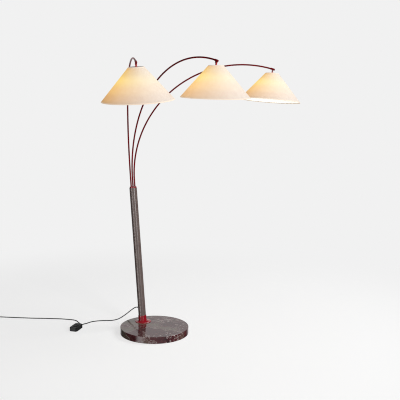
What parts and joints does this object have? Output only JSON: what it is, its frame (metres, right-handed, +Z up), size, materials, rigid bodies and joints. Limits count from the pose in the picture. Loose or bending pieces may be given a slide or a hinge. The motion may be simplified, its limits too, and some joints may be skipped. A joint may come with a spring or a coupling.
{
  "type": "tree floor lamp",
  "caption": "Floor lamp with a round stone base, a leaning leather-clad stem and long bent arms that swing, each with a tilting cone shade; foot switch on its cord.",
  "frame": {"origin": "centre of the round base's underside, on the floor", "axes": "+Z up; +X the way the middle arm reaches, away from the stem's foot; +Y the side of the right arm"},
  "size_m": [1.8097, 1.7371, 1.7975],
  "materials": {
    "felt": "pressed felt",
    "marble": "polished brown and burgundy marble with pale veins",
    "zinc_steel": "zinc plated",
    "red_enamel": "glossy red enamel",
    "leather": "smooth grey-brown leather with a sewn seam",
    "bush_plastic": "moulded nylon",
    "white_plastic": "moulded",
    "cord_sheath": "satin sheath",
    "black_rubber": "moulded",
    "black_plastic": "black moulded, satin gloss",
    "plated_brass": "nickel plated",
    "arm_lacquer": "dark burgundy gloss lacquer",
    "shade_skin": "translucent ivory sheet, satin",
    "shade_metal": "ivory powder coat",
    "opal_glass": "opal"
  },
  "bodies": {
    "base": {"felt_pad": "felt", "marble_base": "marble", "tie_washer": "zinc_steel", "tie_bolt": "zinc_steel", "base_flange": "red_enamel", "stem_collar": "red_enamel", "collar_screws": "zinc_steel", "stem_tube": "zinc_steel", "leather_sleeve": "leather", "top_cap": "red_enamel", "arm_bushes": "bush_plastic", "lower_guide": "bush_plastic", "terminal_block": "white_plastic", "stem_leads": "cord_sheath", "cord_gland": "black_rubber", "supply_tail": "cord_sheath", "switch_base": "black_plastic", "switch_cover": "black_plastic", "switch_screws": "zinc_steel", "switch_contacts": "white_plastic", "switch_cord_grips": "black_rubber", "cord_to_switch": "cord_sheath", "cord_to_coil": "cord_sheath", "cord_coil": "cord_sheath", "plug_body": "black_plastic", "plug_pins": "plated_brass"},
    "arm_left": {"arm_tube_left": "arm_lacquer", "arm_lead_left": "cord_sheath", "arm_ferrule_left": "arm_lacquer", "knuckle_pin_left": "zinc_steel"},
    "head_left": {"drop_link_left": "red_enamel", "shade_cone_left": "shade_skin", "shade_cap_left": "shade_metal", "rim_hoop_left": "shade_metal", "lampholder_left": "white_plastic", "bulb_cap_left": "plated_brass", "bulb_glass_left": "opal_glass"},
    "arm_middle": {"arm_tube_middle": "arm_lacquer", "arm_lead_middle": "cord_sheath", "arm_ferrule_middle": "arm_lacquer", "knuckle_pin_middle": "zinc_steel"},
    "head_middle": {"drop_link_middle": "red_enamel", "shade_cone_middle": "shade_skin", "shade_cap_middle": "shade_metal", "rim_hoop_middle": "shade_metal", "lampholder_middle": "white_plastic", "bulb_cap_middle": "plated_brass", "bulb_glass_middle": "opal_glass"},
    "arm_right": {"arm_tube_right": "arm_lacquer", "arm_lead_right": "cord_sheath", "arm_ferrule_right": "arm_lacquer", "knuckle_pin_right": "zinc_steel"},
    "head_right": {"drop_link_right": "red_enamel", "shade_cone_right": "shade_skin", "shade_cap_right": "shade_metal", "rim_hoop_right": "shade_metal", "lampholder_right": "white_plastic", "bulb_cap_right": "plated_brass", "bulb_glass_right": "opal_glass"},
    "switch_button": {"switch_button": "black_plastic"}
  },
  "joints": [
    {"name": "arm_swing_left", "type": "hinge", "parent": "base", "child": "arm_left", "pos_m": [-0.2459, -0.0145, 0.94922], "axis": [-0.1219, 0, 0.9925], "range_deg": [-60, 0.5]},
    {"name": "arm_swing_middle", "type": "hinge", "parent": "base", "child": "arm_middle", "pos_m": [-0.2459, 0, 0.94922], "axis": [-0.1219, 0, 0.9925], "range_deg": [-0.5, 12]},
    {"name": "arm_swing_right", "type": "hinge", "parent": "base", "child": "arm_right", "pos_m": [-0.2459, 0.0145, 0.94922], "axis": [-0.1219, 0, 0.9925], "range_deg": [-12, 50]},
    {"name": "shade_tilt_left", "type": "hinge", "parent": "arm_left", "child": "head_left", "pos_m": [0.49926, -0.48791, 1.74632], "axis": [0.4888, 0.8704, 0.06], "range_deg": [-30, 20]},
    {"name": "shade_tilt_middle", "type": "hinge", "parent": "arm_middle", "child": "head_middle", "pos_m": [0.62265, -0.02517, 1.76147], "axis": [0.026, 0.9997, 0.0032], "range_deg": [-30, 20]},
    {"name": "shade_tilt_right", "type": "hinge", "parent": "arm_right", "child": "head_right", "pos_m": [0.28211, 0.75097, 1.71966], "axis": [-0.7603, 0.6428, -0.0934], "range_deg": [-30, 20]},
    {"name": "switch_press", "type": "slide", "parent": "base", "child": "switch_button", "axis": [0, 0, -1], "range_m": [0, 0.0025], "stiffness_N_per_m": 600, "springref_m": -0.004}
  ]
}
